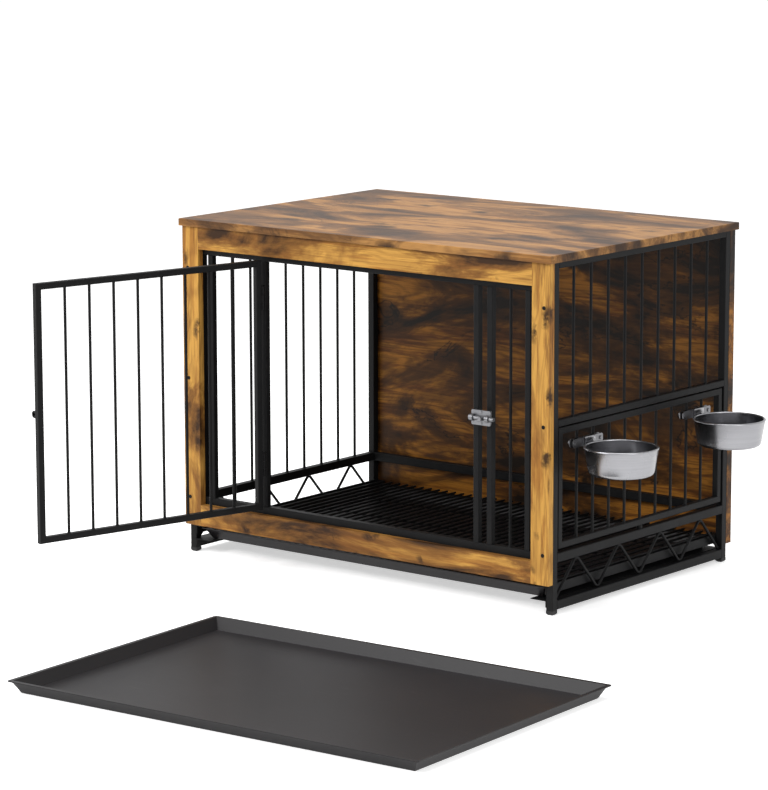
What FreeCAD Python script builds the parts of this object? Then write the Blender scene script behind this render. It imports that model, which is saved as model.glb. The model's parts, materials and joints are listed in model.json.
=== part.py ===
import FreeCAD, Part
import math, os

# Dog crate that doubles as a side table: a welded steel cage under a board top, with a
# framed barred door, a pivoting feeder panel that carries two bowls, and a slide-in tray.
# Millimetres, +Z up, front towards -Y. Every solid is first placed about the crate's own
# centre line; save() then moves all of them so that the origin lies under the middle of
# the whole set, floor tray included.

V = FreeCAD.Vector
X_AXIS, Y_AXIS, Z_AXIS = V(1, 0, 0), V(0, 1, 0), V(0, 0, 1)
os.makedirs("parts", exist_ok=True)

# ---- driving sizes: the crate ----
CRATE_W = 950.0            # across the front frame
CRATE_D = 650.0            # front face of the front frame to rear face of the back board
CRATE_H = 714.0            # floor to the top of the table top
TOP_T = 15.0               # table top board
TOP_OVERHANG = 6.0
TOP_EASE = 1.2             # eased edges of the table top
FRONT_T = 15.0             # boards of the front frame
BACK_T = 18.0              # back board
STILE_W = 43.0             # front frame, upright boards
FRONT_RAIL_TOP_H = 47.0
FRONT_RAIL_BOTTOM_H = 45.0
FRONT_FRAME_Z = 62.0       # underside of the front frame
BACK_BOARD_Z = 38.0        # underside of the back board
BOARD_SEAM = 0.2           # hairline between boards that butt

# ---- driving sizes: steel tube ----
POST = 16.0                # square tube of the posts
RAIL_H = 18.0              # heavy rails, as deep as the posts
SLIM = 13.0                # square tube of panels and door
TUBE_WALL = 1.2
TUBE_EASE = 1.0            # eased corner of a tube
BAR_D = 6.0                # cage bars
BAR_SIDES, WIRE_SIDES = 12, 8
TRUSS_D = 6.0
TRUSS_BEND_R = 9.0         # centre line of the zigzag's bends
TRUSS_BEND_STEPS = 4
WELD_GAP = 0.05            # round steel to the flat or round steel it is welded to

# ---- driving sizes: feet and rail heights, each measured from the floor ----
FOOT_H = 9.0               # plastic glide under each post
FOOT_EASE = 3.0
FOOT_SPIGOT = 14.0
FOOT_FIT = 0.2             # spigot in the post's bore
BOTTOM_RAIL_Z = 10.0
LOWER_RAIL_Z = 104.5
MID_RAIL_Z = 374.5
FRONT_TOP_RAIL_DROP = 60.0 # its underside below the underside of the table top
FRAME_REVEAL = 1.0         # front steel frame behind the edge of the boards
SIDE_BARS = 9
TRUSS_WAVES = 4

# ---- driving sizes: doorway, door, hinges ----
END_POST_GAP = 15.0        # end posts of the fixed panels to the corner posts
PANEL_LEFT_W = 158.0       # fixed panels, over the end post and the jamb
PANEL_RIGHT_W = 139.0
LATCH_POST_STEP = 33.0     # upright behind the latch, from the right jamb
FIXED_BAR_LEFT_INSET = 64.0     # bar from the outer side of its end post
FIXED_BAR_RIGHT_INSET = 52.0
DOOR_STANDOFF = 0.5        # closed door in front of the steel frame
DOOR_LAP = 5.5             # closed door over the right jamb
DOOR_LAP_Z = 3.5           # and over the rails above and below the doorway
DOOR_BARS = 8
DOOR_OPEN_DEG = 104.0      # the door stands open at rest
HINGE_PIN_D = 5.0
HINGE_PIN_FIT = 0.05       # radial, pin in the door's knuckles
KNUCKLE_D = 9.0
KNUCKLE_H = 16.0
KNUCKLE_GAP = 0.4
HINGE_CAP_H = 2.5
HINGE_STANDOFF = 0.6       # knuckle to the face of the jamb
HINGE_INSET = 3.5          # hinge line from the doorway side of the jamb
HINGE_FROM_BOTTOM, HINGE_FROM_TOP = 86.0, 87.5   # turning knuckles from the ends of the door
LEAF_T = 2.0

# ---- driving sizes: latch ----
LATCH_Z = 379.0
LATCH_PLATE_W, LATCH_PLATE_H, LATCH_PLATE_T = 47.0, 30.0, 2.0
LATCH_CORNER = 2.0
LATCH_GAP = 1.5            # plate to the free edge of the closed door
BOLT_D = 8.0
BOLT_LEN = 58.0
BOLT_EASE = 1.0
BOLT_FIT = 0.3             # radial, bolt in its saddles and keeper
SADDLE_W, SADDLE_WALL = 9.0, 2.5
KNOB_D, KNOB_H, KNOB_EASE = 9.0, 15.0, 1.2
KNOB_GAP = 1.0             # knob to the saddle it rests against
RIVET_D, RIVET_H = 6.0, 1.2
RIVET_INSET = 3.6
KEEPER_W, KEEPER_WALL = 10.0, 3.0
KEEPER_INSET = 1.5         # keeper from the edge of the door

# ---- driving sizes: feeder panel and bowls ----
FEEDER_GAP_SIDE = 4.5      # panel to the posts
FEEDER_GAP_TOP = 3.0
FEEDER_GAP_BOTTOM = 8.0
FEEDER_BARS = 9
PIVOT_D = 6.0
PIVOT_FIT = 0.05           # radial, pivot pin in the rail
PIVOT_REACH = 9.0          # pin past the face of the rail it turns in
PIVOT_WASHER_D = 12.0
SEAT_GAP = 0.3             # a piece that can be lifted or turned, to what carries it
BOWL_BARS = (1, 8)         # each bracket clamps the panel's bar of this number and the next
BOWL_FROM_BAR = 32.0       # bowl centre from the first of them
BOWL_R = 71.0              # outside of the wall at the rim
BOWL_BASE_R = 66.0
BOWL_H = 54.0
BOWL_T = 1.2
BOWL_RIM_R = 2.4           # rolled bead
BOWL_HEEL_R = 9.0
BOWL_SIDES, BOWL_HEEL_STEPS = 48, 3
BOWL_RIM_RISE = 4.0        # middle of the bead above the underside of the bracket
BRACKET_DROP = 47.5        # underside of the bracket below the top of the panel
BRACKET_W, BRACKET_H, BRACKET_T = 100.0, 17.0, 2.0
BRACKET_CORNER = 3.0
POCKET_WALL = 1.8
HOOK_W, HOOK_T, HOOK_H = 34.0, 1.5, 10.0
HOOK_BITE = 1.0            # hook into the bead it is welded to
SCREW_D, SCREW_HEAD_D, SCREW_HEAD_H = 4.0, 8.0, 2.2
SCREW_HOLE_D = 4.6
SCREW_INSET = 8.0          # screw from the bracket's end
NUT_D, NUT_H = 9.0, 6.0

# ---- driving sizes: floor, tray ----
FLOOR_TOP_Z = 63.0
FLOOR_WIRE_D, CROSS_WIRE_D = 5.0, 4.0
FLOOR_PITCH = 22.5
FLOOR_END_GAP = 3.0        # wires to the line of the posts
CROSS_WIRES = 5
CROSS_INSET = 6.0
LEDGE_T, LEDGE_LEG = 2.0, 18.0
TRAY_H = 24.0
TRAY_SIDE_GAP = 7.0        # rim to the side frames
TRAY_FLARE = 19.0
TRAY_T = 2.0
TRAY_LIP = 5.0             # width of the turned lip
TRAY_TOP_GAP = 0.95        # rim to the cross wires above it
TRAY_FRONT_GAP = 6.0       # rim behind the front faces of the posts
TRAY_BACK_GAP = 7.0        # rim to the back board
RUNNER_W, RUNNER_T, RUNNER_H = 38.0, 1.6, 14.0
SPARE_TRAY_X, SPARE_TRAY_Y = 484.0, -1065.0     # middle of the tray that lies in front
SPARE_TRAY_DEG = 3.0

# ---- places worked out from them ----
x_side = CRATE_W / 2
y_front, y_back = -CRATE_D / 2, CRATE_D / 2
z_top = CRATE_H - TOP_T                          # underside of the table top
y_post0 = y_front + FRONT_T                      # front face of the front posts
y_post1 = y_back - BACK_T                        # rear face of the rear posts
y_in0, y_in1 = y_post0 + POST, y_post1 - POST    # between the posts
x_in = x_side - POST                             # inner face of the side frames
x_wall = x_side - POST / 2                       # centre plane of a side frame
y_mid = (y_in0 + y_in1) / 2
lower_top = LOWER_RAIL_Z + RAIL_H
side_top_z = z_top - SLIM                        # underside of the side top rails
front_top_z = z_top - FRONT_TOP_RAIL_DROP        # underside of the front frame's top rail
mid_top = MID_RAIL_Z + SLIM
x_stile_in = x_side - STILE_W
z_open0, z_open1 = lower_top, front_top_z        # height of the steel opening
x_frame = x_stile_in + FRAME_REVEAL              # inner side of the front frame's corner posts
end_post_x = x_frame - END_POST_GAP              # outer side of the fixed panels' end posts
jamb_left_x = PANEL_LEFT_W - end_post_x          # doorway side of each jamb
jamb_right_x = end_post_x - PANEL_RIGHT_W
latch_post_x = jamb_right_x + LATCH_POST_STEP
y_panel = y_post0 + SLIM / 2                     # centre plane of the jambs
y_door1 = y_post0 - DOOR_STANDOFF                # closed door, rear and front face
y_door0 = y_door1 - SLIM
hinge_x = jamb_left_x - HINGE_INSET
hinge_y = y_post0 - HINGE_STANDOFF - KNUCKLE_D / 2


def box(x0, x1, y0, y1, z0, z1):
    return Part.makeBox(x1 - x0, y1 - y0, z1 - z0, V(x0, y0, z0))


def cyl(radius, length, base, axis=Z_AXIS):
    return Part.makeCylinder(radius, length, base, axis)


def edges_along(shape, axis):
    """Straight edges of a shape that run along the given axis."""
    found = []
    for edge in shape.Edges:
        if isinstance(edge.Curve, Part.Line) and abs(edge.Curve.Direction.dot(axis)) > 0.999:
            found.append(edge)
    return found


def prism(sides, d, length, base, axis=Z_AXIS):
    """Straight bar with a regular section, d across its corners."""
    turn = FreeCAD.Rotation(Z_AXIS, axis)
    ring = [base + turn.multVec(V(math.cos(a) * d / 2, math.sin(a) * d / 2, 0))
            for a in (2 * math.pi * (i + 0.5) / sides for i in range(sides))]
    return Part.Face(Part.makePolygon(ring + ring[:1])).extrude(axis * length)


def bar(length, base, axis=Z_AXIS):
    """Cage bar; so many of them are needed that each has few faces."""
    return prism(BAR_SIDES, BAR_D, length, base, axis)


def tube(x0, x1, y0, y1, z0, z1):
    """Hollow tube with eased corners that fills the given box, along its longest side."""
    sizes = (x1 - x0, y1 - y0, z1 - z0)
    run = sizes.index(max(sizes))
    axis = (X_AXIS, Y_AXIS, Z_AXIS)[run]
    outer = box(x0, x1, y0, y1, z0, z1)
    outer = outer.makeChamfer(TUBE_EASE, edges_along(outer, axis))
    w = [TUBE_WALL, TUBE_WALL, TUBE_WALL]
    w[run] = 0.0
    return outer.cut(box(x0 + w[0], x1 - w[0], y0 + w[1], y1 - w[1], z0 + w[2], z1 - w[2]))


def mitred(x0, x1, y0, y1, z0, z1, run, size):
    """Tubes of a welded rectangle with mitred corners, in the plane of run (0 X, 1 Y) and Z.

    Gives the low upright, the high upright, the bottom and the top tube."""
    a0, a1 = ((x0, x1), (y0, y1))[run]

    def place(a, z):
        return V(a, y0, z) if run == 0 else V(x0, a, z)

    through = V(0, y1 - y0, 0) if run == 0 else V(x1 - x0, 0, 0)
    inner = ((a0 + size, z0 + size), (a1 - size, z0 + size), (a1 - size, z1 - size), (a0 + size, z1 - size))
    outer = ((a0, z0), (a1, z0), (a1, z1), (a0, z1))
    made = []
    for i, j in ((3, 0), (1, 2), (0, 1), (2, 3)):
        corners = [place(*p) for p in (outer[i], outer[j], inner[j], inner[i], outer[i])]
        wedge = Part.Face(Part.makePolygon(corners)).extrude(through)
        b = wedge.BoundBox
        made.append(tube(b.XMin, b.XMax, b.YMin, b.YMax, b.ZMin, b.ZMax).common(wedge))
    return made


def bar_row(count, y0, y1, x, z0, z1):
    """Upright bars, evenly spaced along Y between two faces."""
    pitch = (y1 - y0) / (count + 1)
    return [bar(z1 - z0, V(x, y0 + pitch * (i + 1), z0)) for i in range(count)]


def group(solids):
    return Part.makeCompound(solids)


parts = {}

# ---- boards ----
top = box(-x_side - TOP_OVERHANG, x_side + TOP_OVERHANG,
          y_front - TOP_OVERHANG, y_back + TOP_OVERHANG, z_top, CRATE_H)
parts["table_top"] = top.makeChamfer(TOP_EASE, edges_along(top, Z_AXIS) + [
    e for e in edges_along(top, X_AXIS) + edges_along(top, Y_AXIS)
    if e.CenterOfMass.z > z_top + TOP_T / 2])

for side, s in (("left", -1), ("right", 1)):
    x0, x1 = sorted((s * x_stile_in, s * x_side))
    parts["front_stile_" + side] = box(x0, x1, y_front, y_post0, FRONT_FRAME_Z, z_top)
rail_x = x_stile_in - BOARD_SEAM
parts["front_rail_top"] = box(-rail_x, rail_x, y_front, y_post0,
                              z_top - FRONT_RAIL_TOP_H, z_top)
parts["front_rail_bottom"] = box(-rail_x, rail_x, y_front, y_post0, FRONT_FRAME_Z,
                                 FRONT_FRAME_Z + FRONT_RAIL_BOTTOM_H)
parts["back_board"] = box(-x_side, x_side, y_post1, y_back, BACK_BOARD_Z, z_top)

# ---- posts and their glides ----
leg_z0 = FOOT_H
feet = []
for fb, y0 in (("front", y_post0), ("back", y_in1)):
    for side, s in (("left", -1), ("right", 1)):
        x0, x1 = sorted((s * x_in, s * x_side))
        parts["leg_%s_%s" % (fb, side)] = tube(x0, x1, y0, y0 + POST, leg_z0, z_top)
        foot = box(x0, x1, y0, y0 + POST, 0, FOOT_H)
        foot = foot.makeChamfer(FOOT_EASE, [e for e in foot.Edges if e.CenterOfMass.z < 0.001])
        inset = TUBE_WALL + FOOT_FIT
        feet.append(foot.fuse(box(x0 + inset, x1 - inset, y0 + inset, y0 + POST - inset,
                                  FOOT_H, FOOT_H + FOOT_SPIGOT)).removeSplitter())
parts["feet"] = group(feet)

# ---- side frames ----
pivot_r = PIVOT_D / 2 + PIVOT_FIT
for side, s in (("left", -1), ("right", 1)):
    x0, x1 = sorted((s * x_in, s * x_side))
    parts["bottom_rail_" + side] = tube(x0, x1, y_in0, y_in1, BOTTOM_RAIL_Z, BOTTOM_RAIL_Z + RAIL_H)
    parts["lower_rail_" + side] = tube(x0, x1, y_in0, y_in1, LOWER_RAIL_Z, lower_top)
    parts["top_rail_" + side] = tube(x0, x1, y_in0, y_in1, side_top_z, z_top)
    bars_z0 = lower_top if side == "left" else mid_top
    parts["wall_bars_" + side] = group(
        bar_row(SIDE_BARS, y_in0, y_in1, s * x_wall, bars_z0, side_top_z))
parts["mid_rail_right"] = tube(x_in, x_side, y_in0, y_in1, MID_RAIL_Z, mid_top).cut(
    cyl(pivot_r, SLIM / 2, V(x_wall, y_mid, MID_RAIL_Z)))
parts["lower_rail_right"] = parts["lower_rail_right"].cut(
    cyl(pivot_r, RAIL_H / 2, V(x_wall, y_mid, lower_top - RAIL_H / 2)))


def truss(x, y0, y1, z0, z1, waves):
    """One wire bent into a zigzag, skinned section by section round its bends."""
    r = TRUSS_BEND_R
    low = z0 + TRUSS_D / 2 + WELD_GAP + r        # centres of the lower and upper bends
    high = z1 - TRUSS_D / 2 - WELD_GAP - r
    half = (y1 - y0) / (2 * waves)
    lean = math.atan2(high - low, half) + math.asin(2 * r / math.hypot(half, high - low))
    rings = []
    for i in range(2 * waves + 1):
        upper = i % 2 == 1
        a0, a1 = (-lean, lean) if upper else (math.pi + lean, math.pi - lean)
        a0, a1 = (math.pi if i == 0 else a0), (math.pi if i == 2 * waves else a1)
        for k in range(TRUSS_BEND_STEPS + 1):
            a = a0 + (a1 - a0) * k / TRUSS_BEND_STEPS
            out = V(0, math.sin(a), math.cos(a)) * (1 if upper else -1)
            c = V(x, y0 + i * half, high if upper else low) + out * (r if upper else -r)
            rings.append([c + (X_AXIS * math.cos(t) + out * math.sin(t)) * (TRUSS_D / 2)
                          for t in (2 * math.pi * j / WIRE_SIDES for j in range(WIRE_SIDES))])
    loops = [rings[0], rings[-1]]
    for p, q in zip(rings, rings[1:]):
        loops += [[p[j], p[j - 1], q[j - 1], q[j]] for j in range(WIRE_SIDES)]
    faces = [Part.Face(Part.makePolygon(loop + loop[:1])) for loop in loops]
    return Part.makeSolid(Part.makeShell(faces))


for side, s in (("left", -1), ("right", 1)):
    parts["truss_" + side] = truss(s * x_wall, y_in0 + WELD_GAP, y_in1 - WELD_GAP,
                                   BOTTOM_RAIL_Z + RAIL_H, LOWER_RAIL_Z, TRUSS_WAVES)

# ---- back frame ----
parts["back_rails"] = group([
    tube(-x_in, x_in, y_in1, y_post1, z0, z0 + h)
    for z0, h in ((BOTTOM_RAIL_Z, RAIL_H), (LOWER_RAIL_Z, RAIL_H), (side_top_z, SLIM))])

# ---- front steel frame behind the boards ----
for side, s in (("left", -1), ("right", 1)):
    x0, x1 = sorted((s * x_frame, s * (x_frame + POST)))
    parts["front_post_" + side] = tube(x0, x1, y_post0, y_in0, LOWER_RAIL_Z,
                                       front_top_z + RAIL_H)
parts["fixed_bars"] = group([bar(z_open1 - z_open0, V(x, y_panel, z_open0))
                             for x in (FIXED_BAR_LEFT_INSET - end_post_x,
                                       end_post_x - FIXED_BAR_RIGHT_INSET)])
for name, z0 in (("front_lower_rail", LOWER_RAIL_Z), ("front_upper_rail", front_top_z)):
    parts[name] = tube(-x_frame, x_frame, y_post0, y_in0, z0, z0 + RAIL_H)
for name, x0 in (("fixed_post_left", -end_post_x), ("jamb_left", jamb_left_x - SLIM),
                 ("jamb_right", jamb_right_x), ("latch_post", latch_post_x),
                 ("fixed_post_right", end_post_x - SLIM)):
    parts[name] = tube(x0, x0 + SLIM, y_post0, y_post0 + SLIM, z_open0, z_open1)

# ---- floor: wires along the depth, cross wires welded beneath, on two angle ledges ----
wire_r, cross_r = FLOOR_WIRE_D / 2, CROSS_WIRE_D / 2
y_floor0, y_floor1 = y_in0 + FLOOR_END_GAP, y_in1 - FLOOR_END_GAP
gaps = int((2 * x_in - FLOOR_WIRE_D) // FLOOR_PITCH)
parts["floor_wires"] = group([
    prism(WIRE_SIDES, FLOOR_WIRE_D, y_floor1 - y_floor0,
          V((i - gaps / 2) * FLOOR_PITCH, y_floor0, FLOOR_TOP_Z - wire_r), Y_AXIS)
    for i in range(gaps + 1)])
ledge_top = FLOOR_TOP_Z - FLOOR_WIRE_D - WELD_GAP
cross_z = ledge_top - cross_r
tray_z = cross_z - cross_r - TRAY_TOP_GAP - TRAY_H     # underside of the tray in the crate
tray_w = 2 * (x_in - TRAY_SIDE_GAP)              # over the rim
tray_d = y_post1 - TRAY_BACK_GAP - y_post0 - TRAY_FRONT_GAP
cross_half = x_in - LEDGE_LEG - SEAT_GAP
cross_step = (y_floor1 - y_floor0 - 2 * CROSS_INSET) / (CROSS_WIRES - 1)
parts["floor_cross_wires"] = group([
    prism(WIRE_SIDES, CROSS_WIRE_D, 2 * cross_half,
          V(-cross_half, y_floor0 + CROSS_INSET + i * cross_step, cross_z), X_AXIS)
    for i in range(CROSS_WIRES)])


def angle_iron(s, flat, web, thick, top, y0, y1):
    """L section against the inner face of a side frame, its flat on top, pointing inwards."""
    xa, xb = sorted((s * x_in, s * (x_in - flat)))
    xc, xd = sorted((s * x_in, s * (x_in - thick)))
    return box(xa, xb, y0, y1, top - thick, top).fuse(
        box(xc, xd, y0, y1, top - web, top)).removeSplitter()


parts["floor_ledges"] = group([angle_iron(s, LEDGE_LEG, LEDGE_LEG, LEDGE_T, ledge_top, y_post0, y_post1)
                               for s in (-1, 1)])
parts["tray_runners"] = group([angle_iron(s, RUNNER_W, RUNNER_H, RUNNER_T, tray_z - SEAT_GAP, y_post0, y_in1)
                               for s in (-1, 1)])


def pyramid(w, d, h, flare):
    """Flat-sided solid that is flare narrower all round at its base than at its top."""
    signs = ((-1, -1), (1, -1), (1, 1), (-1, 1))
    low = [V(sx * (w / 2 - flare), sy * (d / 2 - flare), 0) for sx, sy in signs]
    high = [V(sx * w / 2, sy * d / 2, h) for sx, sy in signs]
    loops = [low, high] + [[low[i], low[(i + 1) % 4], high[(i + 1) % 4], high[i]] for i in range(4)]
    faces = [Part.Face(Part.makePolygon(loop + loop[:1])) for loop in loops]
    return Part.makeSolid(Part.makeShell(faces))


def tray():
    """Shallow tray with flared walls and a narrow turned lip, base at z = 0."""
    w, d = tray_w - 2 * TRAY_LIP, tray_d - 2 * TRAY_LIP
    flare = TRAY_FLARE - TRAY_LIP
    lip = box(-tray_w / 2, tray_w / 2, -tray_d / 2, tray_d / 2, TRAY_H - TRAY_T, TRAY_H)
    lip = lip.makeFillet(TRAY_LIP, edges_along(lip, Z_AXIS))
    hollow = pyramid(w - 2 * TRAY_T, d - 2 * TRAY_T, TRAY_H, flare)
    hollow.translate(V(0, 0, TRAY_T))
    return pyramid(w, d, TRAY_H, flare).fuse(lip).cut(hollow).removeSplitter()


tray_in = tray()
tray_in.translate(V(0, y_post0 + TRAY_FRONT_GAP + tray_d / 2, tray_z))
parts["floor_tray"] = tray_in
spare = tray()
spare.rotate(V(0, 0, 0), Z_AXIS, SPARE_TRAY_DEG)
spare.translate(V(SPARE_TRAY_X, SPARE_TRAY_Y, 0))
parts["spare_tray"] = spare

# ---- door, drawn closed in front of the steel frame, then swung open about its hinge line ----
door_x0, door_x1 = hinge_x + KNUCKLE_D / 2 + KNUCKLE_GAP, jamb_right_x + DOOR_LAP
door_z0, door_z1 = z_open0 - DOOR_LAP_Z, z_open1 + DOOR_LAP_Z
door = {}
bar_pitch = (door_x1 - door_x0 - 2 * SLIM) / (DOOR_BARS + 1)
door["door_bars"] = group([
    bar(door_z1 - door_z0 - 2 * SLIM,
        V(door_x0 + SLIM + bar_pitch * (i + 1), (y_door0 + y_door1) / 2, door_z0 + SLIM))
    for i in range(DOOR_BARS)])
(door["door_stile_hinge"], door["door_stile_free"], door["door_rail_bottom"],
 door["door_rail_top"]) = mitred(door_x0, door_x1, y_door0, y_door1, door_z0, door_z1, 0, SLIM)


def jamb_leaf(z0):
    """Strip behind a knuckle, on the flat of the jamb's front face."""
    return box(jamb_left_x - SLIM + TUBE_EASE, jamb_left_x - TUBE_EASE,
               y_post0 - LEAF_T, y_post0, z0, z0 + KNUCKLE_H)


def door_leaf(z0):
    """Strip beside a knuckle, on the flat of the door's hinge side."""
    return box(door_x0 - LEAF_T, door_x0, y_door0 + TUBE_EASE, y_door1 - TUBE_EASE,
               z0, z0 + KNUCKLE_H)


frame_hinges, door_hinges = [], []
for z in (door_z0 + HINGE_FROM_BOTTOM, door_z1 - HINGE_FROM_TOP):
    pin_z0 = z - KNUCKLE_H - KNUCKLE_GAP
    pin = cyl(HINGE_PIN_D / 2, 3 * KNUCKLE_H + 2 * KNUCKLE_GAP, V(hinge_x, hinge_y, pin_z0))
    cap = Part.makeCone(KNUCKLE_D / 2, HINGE_PIN_D / 2, HINGE_CAP_H,
                        V(hinge_x, hinge_y, pin_z0 + 3 * KNUCKLE_H + 2 * KNUCKLE_GAP))
    fixed = pin.fuse(cap)
    for z0 in (pin_z0, z + KNUCKLE_H + KNUCKLE_GAP):
        fixed = fixed.fuse(cyl(KNUCKLE_D / 2, KNUCKLE_H, V(hinge_x, hinge_y, z0))).fuse(jamb_leaf(z0))
    frame_hinges.append(fixed.removeSplitter())
    bore = cyl(HINGE_PIN_D / 2 + HINGE_PIN_FIT, KNUCKLE_H, V(hinge_x, hinge_y, z))
    turning = cyl(KNUCKLE_D / 2, KNUCKLE_H, V(hinge_x, hinge_y, z)).fuse(door_leaf(z))
    door_hinges.append(turning.cut(bore).removeSplitter())
parts["hinge_halves_frame"] = group(frame_hinges)
door["hinge_halves_door"] = group(door_hinges)

# ---- latch: folded plate level with the door, saddles, round bolt, and the door's keeper ----
plate_x0 = door_x1 + LATCH_GAP
plate_y0 = y_door0 - LATCH_PLATE_T
bolt_y = plate_y0 - BOLT_FIT - BOLT_D / 2
plate = box(plate_x0, plate_x0 + LATCH_PLATE_W, plate_y0, y_door0,
            LATCH_Z - LATCH_PLATE_H / 2, LATCH_Z + LATCH_PLATE_H / 2)
plate = plate.makeChamfer(LATCH_CORNER, edges_along(plate, Y_AXIS))
web_z = LATCH_PLATE_H / 2 - LATCH_CORNER
for x0 in (plate_x0, latch_post_x + SLIM - TUBE_EASE - LATCH_PLATE_T):
    plate = plate.fuse(box(x0, x0 + LATCH_PLATE_T, y_door0, y_post0, LATCH_Z - web_z, LATCH_Z + web_z))
saddle_r = BOLT_D / 2 + BOLT_FIT


def saddle(x0, width, wall, y_base):
    """Half-round bridge over the bolt, standing on a face that looks towards the front."""
    r = saddle_r + wall
    arch = cyl(r, width, V(x0, bolt_y, LATCH_Z), X_AXIS)
    legs = box(x0, x0 + width, bolt_y, y_base, LATCH_Z - r, LATCH_Z + r)
    behind = box(x0, x0 + width, y_base, y_base + 2 * r, LATCH_Z - r, LATCH_Z + r)
    return arch.fuse(legs).cut(behind).cut(cyl(saddle_r, width, V(x0, bolt_y, LATCH_Z), X_AXIS))


for x0 in (plate_x0, plate_x0 + LATCH_PLATE_W - SADDLE_W):
    plate = plate.fuse(saddle(x0, SADDLE_W, SADDLE_WALL, plate_y0))
for s in (-1, 1):
    at = V(plate_x0 + LATCH_PLATE_W / 2, plate_y0, LATCH_Z + s * (LATCH_PLATE_H / 2 - RIVET_INSET))
    plate = plate.fuse(cyl(RIVET_D / 2, RIVET_H, at, V(0, -1, 0)))
parts["latch_plate"] = plate.removeSplitter()
bolt = cyl(BOLT_D / 2, BOLT_LEN, V(plate_x0, bolt_y, LATCH_Z), X_AXIS)
bolt = bolt.makeChamfer(BOLT_EASE, [e for e in bolt.Edges if abs(e.CenterOfMass.x - plate_x0) < 0.001])
knob_x = plate_x0 + LATCH_PLATE_W - SADDLE_W - KNOB_D / 2 - KNOB_GAP
knob = cyl(KNOB_D / 2, KNOB_H - KNOB_EASE, V(knob_x, bolt_y, LATCH_Z), V(0, -1, 0)).fuse(
    Part.makeCone(KNOB_D / 2, KNOB_D / 2 - KNOB_EASE, KNOB_EASE,
                  V(knob_x, bolt_y - KNOB_H + KNOB_EASE, LATCH_Z), V(0, -1, 0)))
parts["latch_bolt"] = bolt.fuse(knob).removeSplitter()
door["door_keeper"] = saddle(door_x1 - KEEPER_INSET - KEEPER_W, KEEPER_W, KEEPER_WALL,
                             y_door0).removeSplitter()

for name, shape in door.items():
    shape.rotate(V(hinge_x, hinge_y, 0), Z_AXIS, -DOOR_OPEN_DEG)
    parts[name] = shape

# ---- feeder panel ----
f_half = (y_in1 - y_in0) / 2 - FEEDER_GAP_SIDE
fy0, fy1 = y_mid - f_half, y_mid + f_half
fz0, fz1 = lower_top + FEEDER_GAP_BOTTOM, MID_RAIL_Z - FEEDER_GAP_TOP
parts["feeder_bars"] = group(
    bar_row(FEEDER_BARS, fy0 + SLIM, fy1 - SLIM, x_wall, fz0 + SLIM, fz1 - SLIM))
stile_f, stile_b, rail_b, rail_t = mitred(x_wall - SLIM / 2, x_wall + SLIM / 2, fy0, fy1, fz0, fz1, 1, SLIM)
parts["feeder_stiles"] = group([stile_f, stile_b])
low_z0, high_z1 = lower_top - PIVOT_REACH, MID_RAIL_Z + PIVOT_REACH
low_pin = cyl(PIVOT_D / 2, fz0 + SLIM / 2 - low_z0, V(x_wall, y_mid, low_z0)).fuse(
    cyl(PIVOT_WASHER_D / 2, FEEDER_GAP_BOTTOM - SEAT_GAP, V(x_wall, y_mid, lower_top + SEAT_GAP)))
high_pin = cyl(PIVOT_D / 2, high_z1 - fz1 + SLIM / 2, V(x_wall, y_mid, fz1 - SLIM / 2))
parts["feeder_rails"] = group([rail_b.fuse(low_pin).removeSplitter(),
                               rail_t.fuse(high_pin).removeSplitter()])

# ---- bowls, each hooked into a pocket that is clamped to the bars ----
x_bracket = x_wall + BAR_D / 2                   # brackets lie on the outside of the bars
bracket_z = fz1 - BRACKET_DROP
bowl_rim_z = bracket_z + BOWL_RIM_RISE
feeder_pitch = (fy1 - fy0 - 2 * SLIM) / (FEEDER_BARS + 1)
x_pocket = x_bracket + BRACKET_T
x_tongue = x_pocket + SEAT_GAP
x_cover = x_tongue + HOOK_T + SEAT_GAP
x_hook = x_cover + POCKET_WALL + SEAT_GAP        # outer leg of the hook
bead_r = BOWL_R + BOWL_RIM_R - BOWL_T            # circle on which the bead's middle runs
x_bowl = x_hook + HOOK_T - HOOK_BITE + bead_r + BOWL_RIM_R
z_hook = bracket_z + BRACKET_H + SEAT_GAP


def lathe(profile, sides):
    """Turned thin body from (radius, z) points, outer base to inner floor, in flat facets."""
    turns = [2 * math.pi * (i + 0.5) / sides for i in range(sides)]
    rings = [[V(r * math.cos(a), r * math.sin(a), z) for a in turns] for r, z in profile]
    loops = [rings[0], rings[-1]]
    for p, q in zip(rings, rings[1:]):
        loops += [[p[j - 1], p[j], q[j], q[j - 1]] for j in range(sides)]
    faces = [Part.Face(Part.makePolygon(loop + loop[:1])) for loop in loops]
    return Part.makeSolid(Part.makeShell(faces))


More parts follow.
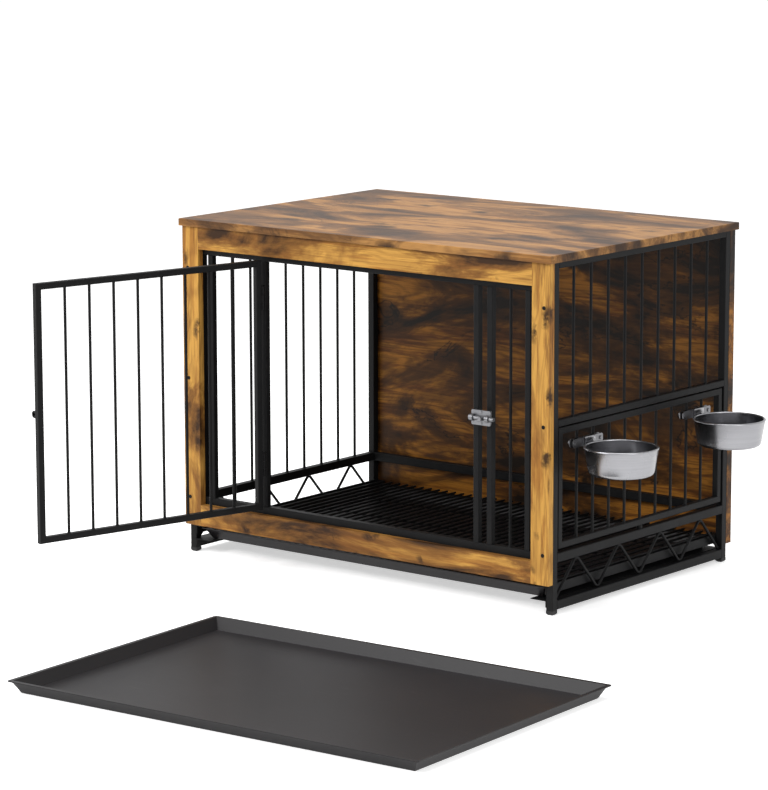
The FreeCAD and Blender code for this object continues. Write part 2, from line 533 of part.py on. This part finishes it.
def bowl(y):
    """Thin spun bowl with a rolled bead and a hook of flat strip welded to it."""
    z0, zr, t = bowl_rim_z - BOWL_H, bowl_rim_z, BOWL_T
    flat = BOWL_BASE_R - BOWL_HEEL_R

    def heel(radius):
        return [(flat + radius * math.sin(a), z0 + BOWL_HEEL_R - radius * math.cos(a))
                for a in (math.pi / 2 * i / BOWL_HEEL_STEPS for i in range(BOWL_HEEL_STEPS + 1))]

    bead = [(bead_r + BOWL_RIM_R * math.sin(a), zr + BOWL_RIM_R * math.cos(a))
            for a in (math.radians(150 - 60 * i) for i in range(5))]
    shape = lathe(heel(BOWL_HEEL_R) + bead + heel(BOWL_HEEL_R - t)[::-1], BOWL_SIDES)
    shape.translate(V(x_bowl, y, 0))
    y0, y1 = y - HOOK_W / 2, y + HOOK_W / 2
    outer_leg = box(x_hook, x_hook + HOOK_T, y0, y1, zr - BOWL_RIM_R, z_hook + HOOK_T)
    bridge = box(x_tongue, x_hook + HOOK_T, y0, y1, z_hook, z_hook + HOOK_T)
    tongue = box(x_tongue, x_tongue + HOOK_T, y0, y1, z_hook - HOOK_H, z_hook + HOOK_T)
    return shape.fuse(outer_leg.fuse(bridge).fuse(tongue)).removeSplitter()


def strip(x0, thick, yc):
    """Flat clamping strip with round corners and a screw hole near each end."""
    plate = box(x0, x0 + thick, yc - BRACKET_W / 2, yc + BRACKET_W / 2, bracket_z, bracket_z + BRACKET_H)
    plate = plate.makeChamfer(BRACKET_CORNER, edges_along(plate, X_AXIS))
    for s in (-1, 1):
        plate = plate.cut(cyl(SCREW_HOLE_D / 2, thick, V(x0, yc + s * screw_y, screw_z), X_AXIS))
    return plate


screw_y = BRACKET_W / 2 - SCREW_INSET
screw_z = bracket_z + BRACKET_H / 2
x_clamp = x_wall - BAR_D / 2 - BRACKET_T
brackets, clamps, screws = [], [], []
for name, first_bar in zip(("bowl_front", "bowl_back"), BOWL_BARS):
    yc = fy0 + SLIM + feeder_pitch * first_bar + BOWL_FROM_BAR
    parts[name] = bowl(yc)
    in_y = HOOK_W / 2 + SEAT_GAP
    cover = box(x_pocket, x_cover + POCKET_WALL, yc - in_y - POCKET_WALL, yc + in_y + POCKET_WALL,
                bracket_z, bracket_z + BRACKET_H)
    slot = box(x_pocket, x_cover, yc - in_y, yc + in_y, bracket_z, bracket_z + BRACKET_H)
    brackets.append(strip(x_bracket, BRACKET_T, yc).fuse(cover.cut(slot)).removeSplitter())
    clamps.append(strip(x_clamp, BRACKET_T, yc))
    for t in (-1, 1):
        at = V(x_clamp - NUT_H, yc + t * screw_y, screw_z)
        head = prism(6, SCREW_HEAD_D, SCREW_HEAD_H, V(x_pocket, at.y, at.z), X_AXIS)
        shank = prism(WIRE_SIDES, SCREW_D, x_pocket - at.x, at, X_AXIS)
        screws.append(shank.fuse(head).fuse(prism(6, NUT_D, NUT_H, at, X_AXIS)).removeSplitter())
parts["bowl_brackets"] = group(brackets)
parts["bowl_clamps"] = group(clamps)
parts["bowl_screws"] = group(screws)


# ---- write, with the origin under the middle of the whole set ----
def save(shapes):
    bounds = FreeCAD.BoundBox()
    for shape in shapes.values():
        bounds.add(shape.optimalBoundingBox(False, False))
    shift = V(-(bounds.XMin + bounds.XMax) / 2, -(bounds.YMin + bounds.YMax) / 2, 0)
    print("shift %.4f %.4f  size %.2f %.2f %.2f" % (
        shift.x, shift.y, bounds.XLength, bounds.YLength, bounds.ZLength))
    for name, shape in shapes.items():
        shape.translate(shift)
        shape.exportStep("parts/%s.step" % name)


if __name__ == "__main__":
    save(parts)
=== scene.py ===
import bpy
import json
import math
from mathutils import Matrix, Vector


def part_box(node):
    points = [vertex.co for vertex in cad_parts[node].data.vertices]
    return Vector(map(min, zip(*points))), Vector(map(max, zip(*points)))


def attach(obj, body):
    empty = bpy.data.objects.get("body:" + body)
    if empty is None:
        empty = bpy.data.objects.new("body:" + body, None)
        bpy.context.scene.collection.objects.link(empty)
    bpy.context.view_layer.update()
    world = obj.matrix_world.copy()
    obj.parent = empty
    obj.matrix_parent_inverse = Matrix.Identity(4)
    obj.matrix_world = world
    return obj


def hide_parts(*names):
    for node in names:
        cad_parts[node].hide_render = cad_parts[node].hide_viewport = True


# Looks of the pet crate table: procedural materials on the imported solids, smooth spun bowls,
# weld beads, board screws, and a pale studio with the photograph's camera. Metres, +Z up.

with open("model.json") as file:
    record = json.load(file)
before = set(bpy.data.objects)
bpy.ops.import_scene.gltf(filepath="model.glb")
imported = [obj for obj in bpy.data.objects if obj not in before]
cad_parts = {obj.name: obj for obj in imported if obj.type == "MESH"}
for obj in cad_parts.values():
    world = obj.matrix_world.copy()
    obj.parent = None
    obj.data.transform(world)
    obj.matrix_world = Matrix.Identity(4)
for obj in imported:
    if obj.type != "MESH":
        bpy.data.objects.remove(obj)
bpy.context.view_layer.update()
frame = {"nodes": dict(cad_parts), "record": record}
MM = 0.001

# ---- camera, measured from the crate's centre line on the floor ----
CAMERA_PLACE = Vector((4.374, -5.696, 1.623))
CAMERA_YAW, CAMERA_PITCH, CAMERA_ROLL = 38.74, 10.09, 0.13   # degrees
FOCAL_PX, LONG_SIDE_PX = 3480.0, 790.0
SENSOR = 36.0
CAMERA_REACH = 100.0

# ---- light ----
LAMPS = (                                        # name, place, height aimed at, disk, power
    ("key", (-1.4, -4.2, 3.4), 0.35, 2.6, 180.0),
    ("fill", (4.6, -1.6, 2.2), 0.35, 2.4, 60.0),
    ("overhead", (0, -0.2, 4.2), 0.0, 3.2, 105.0))
WORLD_LIGHT, WORLD_WHITE = 0.55, 1.0             # strength on the object, and as background
FLOOR_HALF = 30.0
FLOOR_TONE, WHITE = (0.86, 0.86, 0.86, 1), (1, 1, 1, 1)
FLOOR_GLOW = 0.56                                # added to the floor where it is background

# ---- details that the solids leave out ----
BEAD_RISE, BEAD_SPREAD = 1.6 * MM, 1.3 * MM      # weld bead along a bar and round it
BEAD_SIDES = 14
BAR_R = 3.0 * MM
WALL_BARS, FEEDER_BARS, FIXED_BARS, DOOR_BARS = 9, 9, 2, 8
SCREW_HEAD_R, SCREW_HEAD_H, SCREW_SIDES = 4.0 * MM, 1.6 * MM, 28
SCREW_FROM_EDGE = 14.0 * MM                      # screw from the stile's outer edge
SCREW_Z = (0.122, 0.377, 0.611)

# ---- bowls ----
BOWL_BASE_R, BOWL_T = 66.0 * MM, 1.2 * MM
BOWL_RIM_R, BOWL_HEEL_R = 2.4 * MM, 9.0 * MM
BOWL_RIM_Z = 328.0 * MM
BOWL_CAD_SIDES, BOWL_SIDES = 48, 160             # of the solid and of the smooth piece
HOOK_W, HOOK_T = 34.0 * MM, 1.5 * MM
HOOK_BEND, HOOK_BEND_STEP = 1.2 * MM, 15         # middle radius, degrees
HOOK_ON_WALL, HOOK_TAIL = 1.0 * MM, 11.5 * MM    # overlap with the bowl, drop behind the bracket


def centre(node):
    low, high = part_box(node)
    return (low + high) / 2


crate = centre("table_top")
crate.z = 0.0


# ---- node trees ----
class Shader:
    """Short way to write a material's node tree."""

    def __init__(self, name):
        self.material = bpy.data.materials.new(name)
        self.material.use_nodes = True
        self.tree = self.material.node_tree
        self.bsdf = self.tree.nodes["Principled BSDF"]

    def add(self, kind, inputs=(), **settings):
        node = self.tree.nodes.new("ShaderNode" + kind)
        for key, value in settings.items():
            setattr(node, key, value)
        for key, value in dict(inputs).items():
            self.put(node.inputs[key], value)
        return node

    def put(self, socket, value):
        if isinstance(value, bpy.types.NodeSocket):
            self.tree.links.new(value, socket)
        else:
            socket.default_value = value

    def place(self, scale=(1, 1, 1), shift=(0, 0, 0), turn=(0, 0, 0)):
        """Object coordinates, scaled, shifted and turned."""
        coords = self.add("TexCoord").outputs["Object"]
        return self.add("Mapping", {"Vector": coords, "Scale": scale, "Location": shift,
                                    "Rotation": turn}).outputs["Vector"]

    def noise(self, vector, scale, detail=4.0, rough=0.55, distort=0.0):
        return self.add("TexNoise", {"Vector": vector, "Scale": scale, "Detail": detail,
                                     "Roughness": rough, "Distortion": distort}).outputs["Fac"]

    def math(self, operation, a, b=0.0, clamp=False):
        node = self.add("Math", operation=operation, use_clamp=clamp)
        self.put(node.inputs[0], a)
        self.put(node.inputs[1], b)
        return node.outputs[0]

    def ramp(self, fac, stops, interpolation="LINEAR"):
        """Colour band; each stop is a place with a grey level or a colour."""
        node = self.add("ValToRGB", {"Fac": fac})
        band = node.color_ramp
        band.interpolation = interpolation
        while len(band.elements) < len(stops):
            band.elements.new(1.0)
        for element, (at, colour) in zip(band.elements, stops):
            element.position = at
            grey = isinstance(colour, (int, float))
            element.color = (colour,) * 3 + (1,) if grey else tuple(colour) + (1,)
        return node.outputs["Color"]

    def mix(self, fac, a, b, blend="MIX"):
        node = self.add("Mix", data_type="RGBA", blend_type=blend)
        self.put(node.inputs["Factor"], fac)
        for key, value in (("A", a), ("B", b)):
            socket = [i for i in node.inputs if i.name == key and i.type == "RGBA"][0]
            self.put(socket, tuple(value) + (1,) if isinstance(value, tuple) else value)
        return [o for o in node.outputs if o.type == "RGBA"][0]

    def bump(self, height, strength, distance):
        normal = self.add("Bump", {"Height": height, "Strength": strength, "Distance": distance})
        self.put(self.bsdf.inputs["Normal"], normal.outputs["Normal"])

    def finish(self, **inputs):
        """Set the shader's sockets, with _ for a space in their names."""
        for key, value in inputs.items():
            self.put(self.bsdf.inputs[key.replace("_", " ")], value)
        return self.material


# ---- wood: a printed rustic laminate, in light, middle, brown and dark ----
HONEY = ((0.54, 0.285, 0.060), (0.37, 0.165, 0.032), (0.155, 0.060, 0.013), (0.026, 0.011, 0.004))
TAN = ((0.37, 0.185, 0.056), (0.25, 0.112, 0.031), (0.110, 0.050, 0.018), (0.032, 0.016, 0.008))
# Umber tones of the back board: its own dark laminate, made darker still as painted shade of the
# crate's inside.
UMBER_WITH_PAINTED_SHADE = ((0.31, 0.125, 0.017), (0.140, 0.048, 0.008), (0.036, 0.013, 0.003), (0.004, 0.002, 0.001))


def wood(name, tones, grain_axis, shift, patches=0.5, knots=12.0, waves=0.3, rough=0.5, cracks=0.0):
    """Laminate: hairlines and streaks along one axis, soft waves, dark clouds, cracks, knots."""
    light, middle, brown, dark = tones
    s = Shader(name)

    def grain(stretch):
        """Coordinates squeezed across the grain, so that what they carry runs along it."""
        scale = [stretch] * 3
        scale["XYZ".index(grain_axis)] = 1.0
        return s.place(scale=scale, shift=shift)

    def over(tone, fac, stops, colour):
        return s.mix(s.ramp(fac, stops), tone, colour)

    hairs = s.noise(grain(26.0), 12.0, 6.0, 0.68)
    streak = s.noise(grain(12.0), 3.4, 7.0, 0.62, 0.5)
    cloud = s.noise(grain(2.8), 2.7, 6.0, 0.62, 0.9)
    swirl = s.noise(grain(7.0), 2.6, 2.0, 0.4, 0.9)
    swirl = s.ramp(s.math("PINGPONG", s.math("MULTIPLY", swirl, 8.0), 0.5),
                   ((0.12, 0.0), (0.46, 1.0)), "EASE")
    tone = s.ramp(streak, ((0.30, brown), (0.41, middle), (0.50, light), (0.61, light),
                           (0.72, middle)))
    tone = s.mix(s.math("MULTIPLY", swirl, waves), tone, brown)
    tone = over(tone, hairs, ((0.50, 0.0), (0.66, 0.62)), brown)

    edge = 0.61 - 0.18 * patches                 # noise level at which the dark clouds begin
    tone = over(tone, cloud, ((edge, 0.0), (edge + 0.08, 0.85)), brown)
    tone = over(tone, cloud, ((edge + 0.08, 0.0), (edge + 0.18, 0.95)), dark)

    vein = s.noise(grain(2.4), 3.1, 5.0, 0.6, 0.7)
    vein = s.math("ABSOLUTE", s.math("SUBTRACT", vein, 0.56))
    crack = s.math("MULTIPLY", s.ramp(vein, ((0.0, cracks), (0.010, 0.0))),
                   s.ramp(cloud, ((edge - 0.03, 0.0), (edge + 0.05, 1.0))))
    tone = s.mix(crack, tone, dark)

    bent = s.add("VectorMath", operation="MULTIPLY_ADD")
    s.put(bent.inputs[0], s.noise(grain(1.0), 24.0, 4.0, 0.65))
    bent.inputs[1].default_value = (0.075, 0.075, 0.075)
    s.put(bent.inputs[2], grain(1.9))
    knot = s.add("TexVoronoi", {"Vector": bent.outputs["Vector"], "Scale": knots})
    tone = over(tone, knot.outputs["Distance"], ((0.10, 0.95), (0.17, 0.65), (0.28, 0.0)), dark)

    s.bump(s.math("ADD", s.math("MULTIPLY", hairs, 0.7), streak), 0.30, 0.0005)
    roughness = s.math("ADD", s.math("MULTIPLY", hairs, 0.22), rough - 0.1)
    return s.finish(Base_Color=tone, Roughness=roughness, Specular_IOR_Level=0.16)


# ---- metals and plastics ----
def powder_coat(name):
    """Black powder coat: fine orange peel, a little dust and duller rub marks."""
    s = Shader(name)
    place = s.place()
    peel = s.noise(place, 900.0, 2.0)
    haze = s.noise(place, 14.0, 5.0, 0.6)
    s.bump(peel, 0.22, 0.0004)
    colour = s.ramp(haze, ((0.35, (0.004, 0.004, 0.0045)), (0.7, (0.009, 0.009, 0.009))))
    return s.finish(Base_Color=colour, Roughness=s.ramp(haze, ((0.3, 0.40), (0.7, 0.56))),
                    Specular_IOR_Level=0.11)


def brushed(name, colour, rough, axis_scale, depth):
    """Steel with fine scratches along the axis that axis_scale leaves short."""
    s = Shader(name)
    lines = s.noise(s.place(scale=axis_scale), 1.0, 6.0, 0.75)
    smear = s.noise(s.place(), 9.0, 2.0)
    low = tuple(c * 0.80 for c in colour)
    s.bump(lines, depth, 0.0002)
    return s.finish(Base_Color=s.ramp(lines, ((0.30, low), (0.68, colour))), Metallic=1.0,
                    Roughness=s.math("ADD", s.math("MULTIPLY", smear, 0.08), rough - 0.04))


def moulded(name, dark, light, rough, grain):
    """Grained plastic with a faint flow of tone and a few scuffs."""
    s = Shader(name)
    place = s.place()
    pebble = s.noise(place, grain, 2.0)
    flow = s.noise(place, 3.0, 4.0)
    scuff = s.noise(s.place(scale=(5, 60, 5), turn=(0, 0, 0.5)), 3.0, 5.0, 0.7)
    s.bump(pebble, 0.25, 0.0004)
    rough_map = s.math("SUBTRACT", rough + 0.04, s.ramp(scuff, ((0.6, 0.0), (0.75, 0.08))))
    return s.finish(Base_Color=s.ramp(flow, ((0.3, dark), (0.7, light))), Roughness=rough_map,
                    Specular_IOR_Level=0.24)


steel = powder_coat("black_steel")
bright = brushed("bright_steel", (0.21, 0.21, 0.22), rough=0.36, axis_scale=(60, 60, 900),
                 depth=0.10)
spun = brushed("bowl_steel", (0.315, 0.315, 0.33), rough=0.27, axis_scale=(4, 4, 1800), depth=0.04)
glide = moulded("black_plastic", (0.014, 0.014, 0.014), (0.022, 0.022, 0.022), rough=0.5,
                grain=700.0)
tray_skin = moulded("tray_plastic", (0.008, 0.0070, 0.0078), (0.013, 0.0115, 0.0125), rough=0.40,
                    grain=420.0)

SLOT_MATERIAL = {"black_steel": steel, "bright_steel": bright, "bowl_steel": spun,
                 "black_plastic": glide, "tray_plastic": tray_skin}
BOARD_MATERIAL = {
    "table_top": wood("top_laminate", TAN, "X", (0.3, 1.7, 0.0), patches=0.85, knots=7.0,
                      rough=0.46, cracks=0.5),
    "front_rail_top": wood("rail_top_laminate", HONEY, "X", (0.35, 0.0, 2.2), patches=0.85),
    "front_rail_bottom": wood("rail_bottom_laminate", HONEY, "X", (4.1, 0.4, 0.2), patches=0.95),
    "front_stile_left": wood("stile_left_laminate", HONEY, "Z", (1.3, 0.2, 0.6), patches=0.85),
    "front_stile_right": wood("stile_right_laminate", HONEY, "Z", (2.6, 0.9, 3.1), patches=0.7),
    # Back board: its umber tones hold painted shade of the crate's inside as well as the board's
    # own dark laminate.
    "back_board": wood("back_laminate_with_painted_shade", UMBER_WITH_PAINTED_SHADE, "X", (0.8, 2.0, 1.1), patches=1.0, knots=6.0,
                       waves=0.5, rough=0.42, cracks=1.0)}


def dress_solids():
    """Board materials by node, every other material by the slot in the record."""
    slots = {part["node"]: part["material_slot"] for part in frame["record"]["subparts"]}
    for node, obj in frame["nodes"].items():
        material = BOARD_MATERIAL.get(node) or SLOT_MATERIAL[slots[node]]
        if not obj.material_slots:
            obj.data.materials.append(material)
        for slot in obj.material_slots:
            slot.material = material


# ---- pieces ----
def piece(name, points, faces, body, slot, material):
    """Smooth-shaded mesh that rides on a body."""
    mesh = bpy.data.meshes.new(name)
    mesh.from_pydata([tuple(p) for p in points], [], faces)
    mesh.validate()
    mesh.polygons.foreach_set("use_smooth", [True] * len(mesh.polygons))
    mesh.materials.append(material)
    obj = bpy.data.objects.new(name, mesh)
    bpy.context.scene.collection.objects.link(obj)
    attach(obj, body)
    return obj


def turned(profile, sides, origin, axis=Vector((0, 0, 1))):
    """Points and faces of a body turned about an axis, closed at both ends of its profile."""
    turn = Vector((0, 0, 1)).rotation_difference(axis)
    points, faces = [], []
    for r, z in profile:
        for j in range(sides):
            a = 2 * math.pi * j / sides
            points.append(origin + turn @ Vector((r * math.cos(a), r * math.sin(a), z)))
    for i in range(len(profile) - 1):
        for j in range(sides):
            k = (j + 1) % sides
            faces.append((i * sides + j, i * sides + k,
                          (i + 1) * sides + k, (i + 1) * sides + j))
    last = (len(profile) - 1) * sides
    faces.append(tuple(range(sides))[::-1])
    faces.append(tuple(range(last, last + sides)))
    return points, faces


def joined(bodies):
    """Several pairs of points and faces as one."""
    points, faces = [], []
    for more_points, more_faces in bodies:
        start = len(points)
        points += more_points
        faces += [tuple(i + start for i in face) for face in more_faces]
    return points, faces


def arc(centre_r, centre_z, radius, first, last, steps):
    """Profile points round a centre; 0 degrees points outwards, 90 up."""
    found = []
    for i in range(steps + 1):
        a = math.radians(first + (last - first) * i / steps)
        found.append((centre_r + radius * math.cos(a), centre_z + radius * math.sin(a)))
    return found


def rounded_strip(path, width, thick, mid_y):
    """Flat strip along a path in the XZ plane, with slightly rounded long edges."""
    ease = thick * 0.3
    outline = []
    for sy, sn, start in ((1, 1, 0), (-1, 1, 90), (-1, -1, 180), (1, -1, 270)):
        for step in (0, 45, 90):
            a = math.radians(start + step)
            outline.append((sy * (width / 2 - ease) + ease * math.cos(a),
                            sn * (thick / 2 - ease) + ease * math.sin(a)))
    points, faces, n = [], [], len(outline)
    for i, (x, z) in enumerate(path):
        x0, z0 = path[max(i - 1, 0)]
        x1, z1 = path[min(i + 1, len(path) - 1)]
        run = Vector((x1 - x0, 0, z1 - z0)).normalized()
        normal = Vector((run.z, 0, -run.x))
        points += [Vector((x, mid_y + u, z)) + normal * v for u, v in outline]
    for i in range(len(path) - 1):
        for j in range(n):
            k = (j + 1) % n
            faces.append((i * n + k, i * n + j, (i + 1) * n + j, (i + 1) * n + k))
    faces.append(tuple(range(n)))
    faces.append(tuple(range((len(path) - 1) * n, len(path) * n))[::-1])
    return points, faces


def bowl(node):
    """Smooth spun bowl in place of its faceted solid, with the strip that hooks it on."""
    low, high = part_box(node)
    reach = (high.y - low.y) / 2
    rim = reach - BOWL_RIM_R                     # circle on which the bead's middle runs
    axis_x = high.x - reach * math.cos(math.pi / BOWL_CAD_SIDES)
    origin = Vector((axis_x, (low.y + high.y) / 2, 0))
    flat, z0, t = BOWL_BASE_R - BOWL_HEEL_R, low.z, BOWL_T
    heel_z = z0 + BOWL_HEEL_R
    outer = arc(flat, heel_z, BOWL_HEEL_R, -90, 0, 10)
    bead = arc(rim, BOWL_RIM_Z, BOWL_RIM_R, -60, 240, 22)
    inner = arc(flat, heel_z, BOWL_HEEL_R - t, 0, -90, 10)
    dish = [(r, z0 + t) for r in (flat * 0.8, flat * 0.5, flat * 0.25)]
    profile = [(flat * 0.25, z0), (flat * 0.8, z0)] + outer + bead + inner + dish
    points, faces = turned(profile, BOWL_SIDES, origin)
    x_out = axis_x - reach + HOOK_ON_WALL - HOOK_T / 2
    x_in = low.x + HOOK_T / 2
    z_top = high.z - HOOK_T / 2
    bend = [math.radians(a) for a in range(0, 91, HOOK_BEND_STEP)]
    over = [(x_out - HOOK_BEND * (1 - math.cos(a)), z_top - HOOK_BEND * (1 - math.sin(a)))
            for a in bend]
    back = [(x_in + HOOK_BEND * (1 - math.sin(a)), z_top - HOOK_BEND * (1 - math.cos(a)))
            for a in bend]
    path = [(x_out, BOWL_RIM_Z - BOWL_RIM_R)] + over + back + [(x_in, high.z - HOOK_TAIL)]
    made = joined([(points, faces), rounded_strip(path, HOOK_W, HOOK_T, origin.y)])
    obj = piece(node + "_spun", *made, node, "bowl_steel", spun)
    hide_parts(node)


def bead(x, y, z, up):
    """Concave weld fillet round the end of an upright bar."""
    r = BAR_R * 0.9
    profile = [(r, 0.0), (BAR_R + BEAD_SPREAD, 0.0),
               (BAR_R + BEAD_SPREAD * 0.45, BEAD_RISE * 0.35),
               (BAR_R + BEAD_SPREAD * 0.12, BEAD_RISE * 0.75), (r, BEAD_RISE)]
    return turned(profile, BEAD_SIDES, Vector((x, y, z)), Vector((0, 0, up)))


def bar_beads(node, count, run):
    """Beads at both ends of an evenly spaced row of upright bars."""
    low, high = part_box(node)
    made = []
    for i in range(count):
        at = (low + high) / 2
        at[run] = low[run] + BAR_R + (high[run] - low[run] - 2 * BAR_R) * i / (count - 1)
        made += [bead(at.x, at.y, low.z, 1), bead(at.x, at.y, high.z, -1)]
    return made


def weld_beads():
    walls = bar_beads("wall_bars_left", WALL_BARS, 1) + bar_beads("wall_bars_right", WALL_BARS, 1)
    walls += bar_beads("fixed_bars", FIXED_BARS, 0)
    piece("weld_beads_frame", *joined(walls), "frame", "black_steel", steel)
    feeder = bar_beads("feeder_bars", FEEDER_BARS, 1)
    piece("weld_beads_feeder", *joined(feeder), "feeder_panel", "black_steel", steel)
    low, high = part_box("door_bars")
    door = []
    for i in range(DOOR_BARS):                   # the open door's bars cross their box cornerwise
        t = i / (DOOR_BARS - 1)
        x = high.x - BAR_R - (high.x - low.x - 2 * BAR_R) * t
        y = high.y - BAR_R - (high.y - low.y - 2 * BAR_R) * t
        door += [bead(x, y, low.z, 1), bead(x, y, high.z, -1)]
    piece("weld_beads_door", *joined(door), "door", "black_steel", steel)


def board_screws():
    """Dark domed screw heads with a round socket on the front uprights."""
    made = []
    h, r = SCREW_HEAD_H, SCREW_HEAD_R
    profile = [(r * 0.98, 0.0), (r, h * 0.25), (r * 0.9, h * 0.7), (r * 0.6, h), (r * 0.42, h),
               (r * 0.36, h * 0.35)]
    for node, outer in (("front_stile_left", 0), ("front_stile_right", 1)):
        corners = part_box(node)
        x = corners[outer].x + (SCREW_FROM_EDGE if outer == 0 else -SCREW_FROM_EDGE)
        for z in SCREW_Z:
            made.append(turned(profile, SCREW_SIDES, Vector((x, corners[0].y, z)),
                               Vector((0, -1, 0))))
    piece("board_screws", *joined(made), "frame", "black_steel", steel)


# ---- studio ----
def white_rays(tree):
    """1 for the rays that meet the white background: the camera's, and those in metal or glass."""
    path = tree.nodes.new("ShaderNodeLightPath")
    seen = path.outputs["Is Camera Ray"]
    for ray in ("Is Glossy Ray", "Is Transmission Ray"):
        either = tree.nodes.new("ShaderNodeMath")
        either.operation = "MAXIMUM"
        tree.links.new(seen, either.inputs[0])
        tree.links.new(path.outputs[ray], either.inputs[1])
        seen = either.outputs[0]
    return seen


def area_light(name, place, target, size, power):
    lamp = bpy.data.lights.new(name, "AREA")
    lamp.shape, lamp.size, lamp.energy = "DISK", size, power
    obj = bpy.data.objects.new(name, lamp)
    obj.location = place
    obj.rotation_euler = (target - place).to_track_quat("-Z", "Y").to_euler()
    bpy.context.scene.collection.objects.link(obj)


def studio():
    """Pale floor that keeps shadows, a white world behind it, and three soft lamps."""
    floor = bpy.data.meshes.new("floor")
    corners = [(x * FLOOR_HALF, y * FLOOR_HALF, 0) for x, y in ((-1, -1), (1, -1), (1, 1), (-1, 1))]
    floor.from_pydata(corners, [], [(0, 1, 2, 3)])
    s = Shader("floor_paper")
    s.finish(Base_Color=FLOOR_TONE, Roughness=0.9, Specular_IOR_Level=0.1)
    lit = s.math("MULTIPLY", white_rays(s.tree), FLOOR_GLOW)
    glow = s.add("Emission", {"Color": WHITE, "Strength": lit})
    both = s.add("AddShader")
    s.put(both.inputs[0], s.bsdf.outputs[0])
    s.put(both.inputs[1], glow.outputs[0])
    s.put(s.tree.nodes["Material Output"].inputs["Surface"], both.outputs[0])
    floor.materials.append(s.material)
    obj = bpy.data.objects.new("floor", floor)
    bpy.context.scene.collection.objects.link(obj)

    world = bpy.data.worlds.new("studio")
    bpy.context.scene.world = world
    world.use_nodes = True
    tree = world.node_tree
    pick = tree.nodes.new("ShaderNodeMix")
    tree.links.new(white_rays(tree), pick.inputs["Factor"])
    pick.inputs["A"].default_value = WORLD_LIGHT
    pick.inputs["B"].default_value = WORLD_WHITE
    background = tree.nodes["Background"]
    background.inputs["Color"].default_value = WHITE
    tree.links.new(pick.outputs["Result"], background.inputs["Strength"])

    for name, place, aim_z, size, power in LAMPS:
        area_light(name, crate + Vector(place), crate + Vector((0, 0, aim_z)), size, power)


def camera():
    """The photograph's camera, from its measured place, angles and focal length."""
    data = bpy.data.cameras.new("camera")
    data.sensor_width = SENSOR
    data.lens = SENSOR * FOCAL_PX / LONG_SIDE_PX
    data.clip_end = CAMERA_REACH
    yaw, pitch, roll = (math.radians(v) for v in (CAMERA_YAW, CAMERA_PITCH, CAMERA_ROLL))
    ahead = Vector((-math.sin(yaw) * math.cos(pitch), math.cos(yaw) * math.cos(pitch),
                    -math.sin(pitch)))
    right = ahead.cross(Vector((0, 0, 1))).normalized()
    right = Matrix.Rotation(roll, 3, ahead) @ right
    up = right.cross(ahead)
    turn = Matrix((right, up, -ahead)).transposed().to_4x4()
    obj = bpy.data.objects.new("camera", data)
    obj.matrix_world = Matrix.Translation(crate + CAMERA_PLACE) @ turn
    bpy.context.scene.collection.objects.link(obj)
    bpy.context.scene.camera = obj


camera()
studio()
dress_solids()
for bowl_node in ("bowl_front", "bowl_back"):
    bowl(bowl_node)
weld_beads()
board_screws()

bpy.context.scene.view_settings.view_transform = "Standard"
